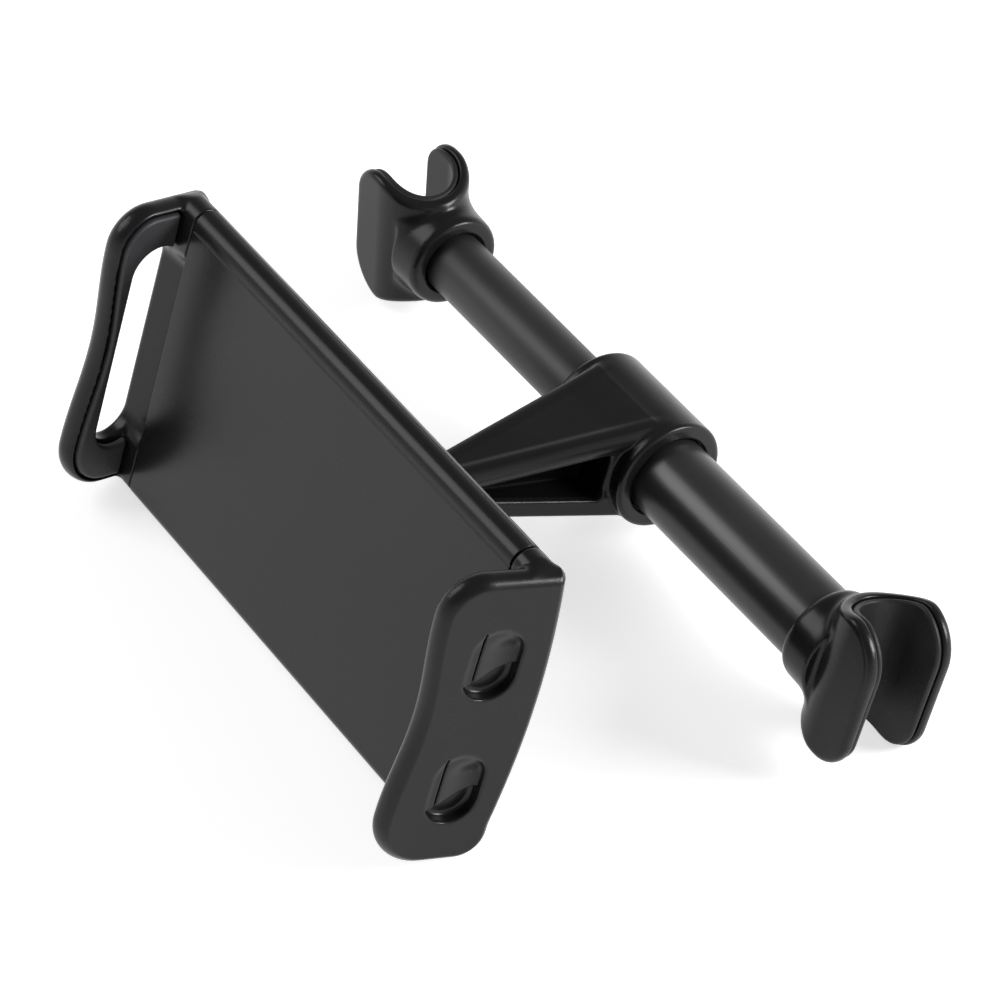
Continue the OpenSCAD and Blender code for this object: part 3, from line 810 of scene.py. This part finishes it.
@dataclass
class BallJoint:
    """Ball stud on the arm, plastic seat, socket on the tray and the fluted lock nut."""

    ball_d: float = 15.0
    stem_d: float = 6.5
    spigot_d: float = 4.0
    seat_t: float = 1.2
    run_fit: float = 0.1
    socket_d: float = 21.0
    flange_d: float = 34.0
    back_y: float = -72.4
    nut_d: float = 26.0
    nut_start: float = -69.7
    nut_end: float = -56.7
    lobes: int = 12
    seat_rim: float = -2.4
    seat_hole: float = 2.5
    flange_t: float = 2.4

    def stud(self) -> None:
        """Ball, stem and spigot as one turned profile."""
        r = self.ball_d / 2
        lean = math.degrees(math.asin(self.stem_d / 2 / r))
        ball = arc(0, 0, r, 180, lean, 40)
        rest = np.array([[10.7, self.stem_d / 2], [10.7, self.spigot_d / 2], [15.4, self.spigot_d / 2],
                         [15.8, self.spigot_d / 2 - 0.5], [15.8, 0.0]])
        profile = np.concatenate([ball * (1, 1), rest])
        profile[0, 1] = 0.0
        add_piece("ball_stud_turned", turned(profile, "y", BALL, closed=False), STEEL, Body.ARM, "ball_stud",
                  crease=40, bevel=0.1)

    def seat(self) -> None:
        """Plastic cup round the far half of the ball: two arcs about the ball's centre."""
        inner = self.ball_d / 2 + self.run_fit
        outer = inner + self.seat_t
        rims = [math.degrees(math.acos(self.seat_rim / r)) for r in (outer, inner)]
        holes = [180 - math.degrees(math.asin(self.seat_hole / r)) for r in (outer, inner)]
        profile = np.concatenate([arc(0, 0, outer, holes[0], rims[0], 24), arc(0, 0, inner, rims[1], holes[1], 24)])
        add_piece("ball_seat_cup", turned(profile, "y", BALL, sides=96), NYLON, Body.SEAT, "ball_seat",
                  crease=40, bevel=0.12)

    def socket(self) -> None:
        """Socket cup with a flange against the tray's back, hollowed by a sphere about the ball."""
        hollow = self.ball_d / 2 + 2 * self.run_fit + self.seat_t
        base = self.back_y - BALL[1]
        flange = base + self.flange_t
        bowl = arc(0, 0, hollow, 180, 90, 24)
        bowl[0, 1] = 0.0
        profile = np.concatenate([
            [[base, 0.0], [base, self.flange_d / 2 - 0.1]],
            arc(flange - 1.0, self.flange_d / 2 - 1.0, 1.0, 90, 0, 6),
            arc(flange + 0.5, self.socket_d / 2 + 0.5, 0.5, 180, 270, 4),
            [[-0.3, self.socket_d / 2], [0.0, self.socket_d / 2 - 0.3]], bowl[::-1]])
        add_piece("ball_socket_cup", turned(profile, "y", BALL, closed=False), BLACK_ABS, Body.TRAY, "ball_socket",
                  crease=35)

    def flutes(self, r: Array, a: Array) -> Array:
        """Depth of the grip flutes: a rounded dip in the outer radius, twelve times round."""
        dip = np.clip(np.cos(self.lobes * a) * 2 - 0.9, 0, None)
        return np.where(r > self.socket_d / 2 + 1.2, -0.95 * dip * (2 - dip), 0.0)

    def nut(self) -> None:
        """Ring nut round the socket, closing in over the ball behind it."""
        start, end = self.nut_start - BALL[1], self.nut_end - BALL[1]
        r, bore = self.nut_d / 2, self.socket_d / 2 + self.run_fit
        clear = self.ball_d / 2 + self.run_fit + 0.2
        hole = self.stem_d / 2 + 1.7
        lip = math.degrees(math.asin(hole / clear))
        profile = np.concatenate([
            arc(start + 0.8, r - 0.8, 0.8, 180, 90, 5),
            np.stack([np.linspace(start + 1.5, end - 2.6, 8), np.full(8, r)], 1),
            arc(end - 1.8, r - 1.8, 1.8, 90, 20, 7), [[end, r - 4.2], [end, hole + 0.5], [end - 0.5, hole]],
            arc(0, 0, clear, lip, 88, 14), [[0.0, bore], [start, bore]]])
        add_piece("lock_nut_moulding", turned(profile, "y", BALL, sides=288, flute=self.flutes), BLACK_ABS,
                  Body.NUT, "lock_nut", crease=38)

    def build(self) -> None:
        """Makes all pieces of the joint."""
        self.stud()
        self.seat()
        self.socket()
        self.nut()


@dataclass
class Tray:
    """Two shells that clip together at a seam, and four screws at the back."""

    half: float = 58.5
    face_y: float = -79.6
    top: float = 29.2
    height: float = 70.5
    thick: float = 7.2
    wall: float = 1.5
    split: float = 4.2
    low_r: float = 2.4
    line: float = 0.3
    end_gap: float = 0.12
    screw_in: float = 12.0
    screw_up: float = 9.0

    def nose(self) -> tuple[float, float, float, float, float]:
        """Round upper edge: radius, middle, angles at the seam outside and inside; and the lowest level."""
        r = self.thick / 2
        angles = [math.degrees(math.acos((self.split - r) / size)) for size in (r, r - self.wall)]
        return r, self.top - r, *angles, self.top - self.height

    def front_section(self) -> Array:
        """Closed section of the front shell in Y and Z.

        Arc over the nose, a fine line where it meets the flat face, the face, an arc at
        the bottom, and the same way back one wall further in.
        """
        r, cz, start, start_in, low = self.nose()
        g = self.line
        outer = np.concatenate([
            arc(r, cz, r, start, 180, 24), [[0.0, cz - 0.3], [g, cz - 0.42], [g, cz - 0.78], [0.0, cz - 0.9]],
            arc(self.low_r, low + self.low_r, self.low_r, 180, 270, 12), [[self.split, low]]])
        ri = self.low_r - self.wall
        inner = np.concatenate([
            [[self.split, low + self.wall]], arc(self.low_r, low + self.low_r, ri, 270, 180, 6),
            arc(r, cz, r - self.wall, 180, start_in, 16)])
        return np.concatenate([outer, inner])

    def back_section(self) -> Array:
        """Closed section of the back shell, from the seam over the nose and down the back."""
        r, cz, start, start_in, low = self.nose()
        far = self.thick - self.low_r
        outer = np.concatenate([
            arc(r, cz, r, start, 0, 16), arc(far, low + self.low_r, self.low_r, 0, -90, 12),
            [[self.split, low]]])
        inner = np.concatenate([
            [[self.split, low + self.wall]], arc(far, low + self.low_r, self.low_r - self.wall, -90, 0, 6),
            arc(r, cz, r - self.wall, 0, start_in, 12)])
        return np.concatenate([outer, inner])

    def run(self, section: Array, x0: float, x1: float) -> Surface:
        """Carries a section along X: the same loop at each distance.

        Args:
            section: loop in Y from the front face, and Z.
            x0, x1: the two ends.

        Returns:
            Vertices and faces.
        """
        loop = section + (self.face_y, 0.0)
        return loft(np.stack([np.insert(loop, 0, x, axis=1) for x in (x0, x1)]))

    def end_wall(self, y0: float, y1: float) -> Surface:
        """Plate that closes the right end inside the section."""
        low = self.top - self.height + 0.9
        r = 1.9
        loop = np.array([[y0, low], [y1, low], [y1, self.top - 1.2 - r], [y0, self.top - 1.2 - r]])
        return self.run(loop, self.half - self.wall, self.half - self.end_gap)

    def screws(self) -> list[Surface]:
        """Four countersunk heads: a turned disc with a shallow cone round its drive."""
        y = self.face_y + self.thick - 0.22
        profile = np.array([[-1.2, 0.0], [-1.2, 1.5], [-0.12, 1.5], [0.0, 1.38],
                            [0.0, 0.85], [-0.5, 0.45], [-0.5, 0.0]])
        across = self.half - self.screw_in
        levels = (self.top - self.screw_up, self.top - self.height + self.screw_up)
        return [turned(profile, "y", (x, y, z), sides=32, closed=False) for x in (-across, across) for z in levels]

    def build(self) -> None:
        """Makes the shells and the screws."""
        ends = (-self.half, self.half)
        front = joined([self.run(self.front_section(), *ends), self.end_wall(1.2, self.split)])
        add_piece("tray_front_moulding", front, TRAY_ABS, Body.TRAY, "tray_front", crease=28, bevel=0.22)
        back = joined([self.run(self.back_section(), *ends), self.end_wall(self.split, 6.0)])
        add_piece("tray_back_moulding", back, BLACK_ABS, Body.TRAY, "tray_back", crease=28, bevel=0.22)
        add_piece("tray_screw_heads", joined(self.screws()), STEEL, Body.TRAY, "tray_screws", crease=30)


@dataclass
class Jaw:
    """A leaning jaw with a round lip and a rubber pad in its recess.

    It is worked out upright for the right end, with X from the seam outwards, Y from
    the tray's front face and Z up, then leaned about its outer back edge. The left
    jaw is the mirror image.
    """

    side: Side
    out: float = 9.5
    plate: float = 4.3
    high: float = 68.8
    drop: float = 1.2
    depth: float = 17.6
    foot: float = 0.2
    waist: float = 1.9
    bulge: float = 2.2
    lean: float = 9.0
    pad_t: float = 1.8
    lip_t: float = 5.4
    lip_w: float = 3.2
    round_wide: float = 1.8
    round_deep: float = 2.9
    r_top: float = 9.0
    r_low: float = 11.0
    r_heel: float = 6.5
    tray: Tray = field(default_factory=Tray)
    window: tuple[float, float, float, float] = (11.4, -30.5, 18.4, 1.0)
    pockets: tuple[float, float] = (16.4, -13.7)
    pocket_size: tuple[float, float, float, float] = (11.0, 16.6, 2.8, 9.3)
    thumb: float = 1.5
    gap: float = 0.4
    step: float = 0.28

    def outline(self, inset: float = 0.0) -> Array:
        """Outline in Y and Z.

        The front edge is hollowed by a cosine and runs a little forward to its foot,
        the back edge bulges by a sine over its upper nine tenths, and arcs round the
        corners.

        Args:
            inset: how far the whole outline is drawn in.

        Returns:
            Closed loop of (y, z).
        """
        top, low = self.tray.top - self.drop - inset, self.tray.top - self.drop - self.high + inset
        front, foot = -self.depth + inset, -self.depth - self.foot + inset
        back = self.tray.thick - min(inset, 0.8)
        rt, rl, rh = self.r_top - inset, self.r_low - inset, self.r_heel - min(inset, 3.0)
        t = np.linspace(0, 1, 30)[1:-1]
        waist = np.stack([front + (foot - front) * t + self.waist * (1 - np.cos(2 * math.pi * t)) / 2,
                          top - rt - (top - rt - low - rl) * t], axis=1)
        t = np.linspace(0, 1, 34)
        spine = np.stack([back + self.bulge * np.sin(math.pi * np.clip(t / 0.96, 0, 1)) ** 0.85,
                          low + rh + (top - 1 - low - rh) * (1 - t)], axis=1)[::-1]
        return np.concatenate([spine, [[back - 1, top]], arc(front + rt, top - rt, rt, 90, 180, 16),
                               waist, arc(foot + rl, low + rl, rl, 180, 270, 18),
                               arc(back - rh, low + rh, rh, 270, 360, 12)[:-1]])

    def lip_profile(self) -> Array:
        """Closed profile of the plate's edge in (inset, distance from the seam).

        The outer face ends at a crease. From there an arc that starts at a slope runs to
        the lip's outermost line, and a round lip leads back to the thin plate behind.
        """
        wide, deep, r = self.round_wide, self.round_deep, self.lip_t - self.round_deep
        turn = 2 * math.atan2(deep, wide) - math.pi / 2
        radius = deep / math.cos(turn)
        t = np.linspace(turn, math.pi / 2, 14)
        edge = np.stack([wide - radius * (np.sin(t) - math.sin(turn)),
                         self.out - radius * (math.cos(turn) - np.cos(t))], axis=1)
        x0 = self.out - deep
        a = min(r, 0.8 * self.lip_w)
        behind = arc(0, 0, 1, 180, 265, 12)[1:] * (a, r) + (a, x0)
        return np.concatenate([[[16.0, self.out]], edge, behind,
                               [[self.lip_w - 0.15, x0 - 0.85 * r], [self.lip_w, self.out - self.plate],
                                [16.0, self.out - self.plate]]])

    def leaned(self, x: Array, y: Array) -> tuple[Array, Array]:
        """Turns points in plan by the lean about the outer back edge."""
        a = math.radians(-self.lean)
        u, v = x - self.out, y - self.tray.thick
        return u * math.cos(a) - v * math.sin(a) + self.out, u * math.sin(a) + v * math.cos(a) + self.tray.thick

    def bar_hole(self, y: Array, z: Array, y0: float, low: float, top: float, width: float) -> Array:
        """Distance to a hole with round ends: a rectangle whose corner radius is half its width."""
        return rounded_box(y - y0, z - (low + top) / 2, width / 2, (top - low) / 2, width / 2 - 0.01)

    def solid(self, x: Array, y: Array, z: Array) -> Array:
        """Distance to the jaw: plate with lip, joined to its base, less the window or the finger pockets."""
        edge = polygon_distance(self.outline(), y, z)
        plate = polygon_distance(self.lip_profile(), -edge, x)
        u, v = self.leaned(x, y)
        top, low = self.tray.top - 0.08, self.tray.top - self.tray.height + 0.1
        corner = np.where(z > 0, 3.45, 2.3)
        half = self.tray.thick / 2
        base = rounded_box(v - half, z - (top + low) / 2, half - 0.06, (top - low) / 2, corner)
        base = soft_max(base, np.maximum(self.gap - u, u - self.out + 3.1), 0.3)
        base = soft_max(base, edge - 0.7 * (self.out - 2.6 - x), 1.0)
        body = soft_min(plate, base, 1.2)
        if self.side is Side.LEFT:
            width, lower, upper, behind = self.window
            hole = self.bar_hole(y, z, behind - width / 2, lower, upper, width)
            return soft_max(body, -hole, 1.5)
        width, length, deep, start = self.pocket_size
        for upper in self.pockets:
            down = smooth_step((upper - z) / 6.0)
            across = smooth_step((y + start - 0.6) / (width - 2.5))
            floor = self.out - 0.25 - self.thumb * down * across
            floor = np.where(z < upper - length + 3.3 + 0.4 * (y + start), self.out - deep, floor)
            hole = self.bar_hole(y, z, width / 2 - start, upper - length, upper, width)
            body = soft_max(body, -soft_max(hole, floor - x, 1.3), 0.6)
            slit = rounded_box(y + start - 2.1, z - upper + 6.9, 0.2, 6.3, 0.15)
            body = np.maximum(body, -np.maximum(slit, floor - 0.7 - x))
        return body

    def pad(self, x: Array, y: Array, z: Array) -> Array:
        """Distance to the rubber pad behind the lip, cut off in front of the tray's face."""
        edge = polygon_distance(self.outline(self.lip_w + self.gap), y, z)
        inner = self.out - self.plate
        body = soft_max(edge, np.maximum(x - inner, inner - self.pad_t - x), 0.9)
        u, v = self.leaned(x, y)
        body = soft_max(body, v + self.gap, 0.5)
        if self.side is Side.LEFT:
            width, lower, upper, behind = self.window
            hole = self.bar_hole(y, z, behind - width / 2, lower - 0.5, upper + 0.5, width + 1.0)
            body = soft_max(body, -hole, 0.6)
        return body

    def place(self, points: Array) -> Array:
        """Leans local points, moves them to the tray and mirrors them for the left jaw."""
        x, y, z = points.T
        p = np.stack([*self.leaned(x, y), z], axis=1) + (self.tray.half, self.tray.face_y, 0.0)
        return p * (self.side.value, 1, 1)

    def tongue(self) -> Surface:
        """Flat tongue that slides in the tray, in three strips either side of the spring slots."""
        tray = self.tray
        low, top, mid = tray.top - tray.height + 5, tray.top - 5, tray.top - tray.height / 2
        y0, y1 = tray.wall + self.gap, tray.thick - tray.wall - self.gap
        strips = []
        for z0, z1 in ((low, mid - 17.2), (mid - 10.8, mid + 10.8), (mid + 17.2, top)):
            loop = np.array([[y0, z0], [y1, z0], [y1, z1], [y0, z1]])
            points, faces = tray.run(loop, tray.half + 2.0, -tray.half + 6.0)
            strips.append((points * (-1, 1, 1), faces))
        return joined(strips)

    def build(self) -> None:
        """Makes the jaw, its tongue where it has one, and its pad."""
        name = self.side.name.lower()
        left = self.side is Side.LEFT
        body = Body.JAW if left else Body.TRAY
        low = (-1.8, -19.4, self.tray.top - self.drop - self.high - 1.4)
        high = (self.out + 0.8, self.tray.thick + self.bulge + 1.6, self.tray.top + 1.2)
        points, faces = surface_net(self.solid, low, high, self.step)
        add_piece(name + "_jaw_moulding", (self.place(points), faces), BLACK_ABS, body, name + "_jaw",
                  crease=0, flip=left)
        if left:
            add_piece("left_jaw_tongue", self.tongue(), BLACK_ABS, body, bevel=0.3)
        start, end = (self.out - 7.9, -16.0, low[2]), (self.out - 3.1, 2.6, high[2])
        points, faces = surface_net(self.pad, start, end, self.step)
        add_piece(name + "_grip_rubber", (self.place(points), faces), PAD_RUBBER, body, name + "_grip_pad",
                  crease=0, flip=left)


@dataclass
class Studio:
    """Pale floor, soft lamps, white surroundings and the camera at the photograph's angle."""

    eye: tuple[float, float, float] = (0.4650, -0.5541, 0.4762)
    right: tuple[float, float, float] = (0.547, 0.800, 0.244)
    up: tuple[float, float, float] = (-0.574, 0.147, 0.805)
    lens: float = 157.8
    floor_normal: tuple[float, float, float] = (0.0, -0.29, 0.956)
    floor_level: float = -0.018
    floor_size: float = 6.0
    floor_glow: float = 0.64
    ceiling: float = 0.2

    def camera(self) -> None:
        """Places the camera from its right and up directions."""
        right = Vector(self.right).normalized()
        up = Vector(self.up)
        up = (up - right * up.dot(right)).normalized()
        back = right.cross(up)
        turn = Matrix((right, up, back)).transposed().to_4x4()
        data = bpy.data.cameras.new("photo_camera")
        data.lens = self.lens
        data.sensor_width = 36.0
        data.clip_start = 0.01
        data.clip_end = 20.0
        camera = bpy.data.objects.new("photo_camera", data)
        camera.matrix_world = Matrix.Translation(self.eye) @ turn
        bpy.context.scene.collection.objects.link(camera)
        bpy.context.scene.camera = camera

    def floor(self) -> None:
        """Pale floor, seen and shading only from above."""
        normal = Vector(self.floor_normal).normalized()
        size = self.floor_size
        mesh = bpy.data.meshes.new("studio_floor")
        mesh.from_pydata([(-size, -size, 0), (size, -size, 0), (size, size, 0), (-size, size, 0)], [], [[0, 1, 2, 3]])
        turn = Vector((0, 0, 1)).rotation_difference(normal).to_matrix().to_4x4()
        mesh.transform(Matrix.Translation(normal * self.floor_level) @ turn)
        floor = bpy.data.objects.new("studio_floor", mesh)
        bpy.context.scene.collection.objects.link(floor)
        made = bpy.data.materials.new("pale_floor")
        made.use_nodes = True
        tree = made.node_tree
        shader = tree.nodes["Principled BSDF"]
        set_inputs(shader, {"Base Color": (0.8, 0.8, 0.8, 1), "Roughness": 1.0, "Specular IOR Level": 0.0,
                            "Emission Color": (1, 1, 1, 1)})
        clear = add_node(tree, "BsdfTransparent")
        choose = add_node(tree, "MixShader")
        facing = add_node(tree, "NewGeometry")
        path = add_node(tree, "LightPath")
        seen = add_node(tree, "Math", operation="MAXIMUM")
        also = add_node(tree, "Math", operation="MAXIMUM")
        glow = add_node(tree, "Math", {1: self.floor_glow}, operation="MULTIPLY")
        connect(tree, (path, "Is Camera Ray", seen, 0), (path, "Is Glossy Ray", seen, 1), (seen, 0, also, 0),
                (path, "Is Transmission Ray", also, 1), (also, 0, glow, 0), (glow, 0, shader, "Emission Strength"),
                (facing, "Backfacing", choose, "Fac"), (shader, "BSDF", choose, 1), (clear, "BSDF", choose, 2),
                (choose, "Shader", tree.nodes["Material Output"], "Surface"))
        floor.data.materials.append(made)

    def lamp(self, name: str, place: tuple[float, float, float], aim: tuple[float, float, float],
             size: float, power: float) -> None:
        """A square soft lamp.

        Args:
            name: name of the lamp.
            place: where it hangs, in metres.
            aim: the point that it faces.
            size: edge length in metres.
            power: watts.
        """
        data = bpy.data.lights.new(name, "AREA")
        data.shape = "SQUARE"
        data.size = size
        data.energy = power
        lamp = bpy.data.objects.new(name, data)
        lamp.location = place
        lamp.rotation_euler = (Vector(aim) - Vector(place)).to_track_quat("-Z", "Y").to_euler()
        bpy.context.scene.collection.objects.link(lamp)

    def world(self) -> None:
        """Surroundings that are white at the floor's horizon and fall off to a dim ceiling.

        The brightness follows the sine of the height above the floor's plane.
        """
        world = bpy.data.worlds.new("studio_air")
        bpy.context.scene.world = world
        world.use_nodes = True
        tree = world.node_tree
        soft = tree.nodes["Background"]
        soft.inputs["Strength"].default_value = 1.0
        place = add_node(tree, "TexCoord")
        rise = add_node(tree, "VectorMath", {1: self.floor_normal}, operation="DOT_PRODUCT")
        fall = add_node(tree, "MapRange", {"From Min": 0.05, "From Max": 0.6, "To Min": 1.0, "To Max": self.ceiling},
                        interpolation_type="SMOOTHSTEP")
        connect(tree, (place, "Generated", rise, 0), (rise, "Value", fall, "Value"), (fall, "Result", soft, "Color"))

    def build(self) -> None:
        """Sets up the whole studio."""
        bpy.context.scene.view_settings.view_transform = "Standard"
        self.camera()
        self.floor()
        self.world()
        middle = (-0.083, -0.04, 0.0)
        self.lamp("back_right_soft", (0.42, 0.42, 0.52), middle, 0.32, 6.5)
        self.lamp("front_left_soft", (-0.7, -0.75, 0.55), middle, 0.6, 4.0)


def finish_hidden_parts(frame: dict) -> None:
    """Gives the solids that stay their own finish.

    Args:
        frame: the loaded frame.
    """
    kept = {"bar_spring": STEEL, "jaw_spring_upper": STEEL, "jaw_spring_lower": STEEL,
            "right_hook_screw": STEEL, "left_hook_screw": STEEL}
    for name, finish in kept.items():
        node = frame["nodes"][name]
        if not node.material_slots:
            node.data.materials.append(None)
        for slot in node.material_slots:
            slot.material = finish.material()
        weld = node.modifiers.new("weld", "WELD")
        weld.merge_threshold = 1e-6
        log.info("%s: kept with %s", name, finish.name)


def main() -> None:
    """Builds the mount piece by piece."""
    logging.basicConfig(level=logging.INFO, format="%(name)s %(message)s")
    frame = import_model()
    Studio().build()
    SprungBar().build()
    PostHook(Side.RIGHT, bore=18.0, wall=2.5, shift=0.9).build()
    PostHook(Side.LEFT, bore=14.0, turn=13.0).build()
    WedgeArm().build()
    BallJoint().build()
    Tray().build()
    Jaw(Side.RIGHT).build()
    Jaw(Side.LEFT, out=11.4, depth=16.3, waist=2.0, lip_w=1.5).build()
    finish_hidden_parts(frame)
    bpy.context.view_layer.update()


if __name__ == "__main__":
    main()
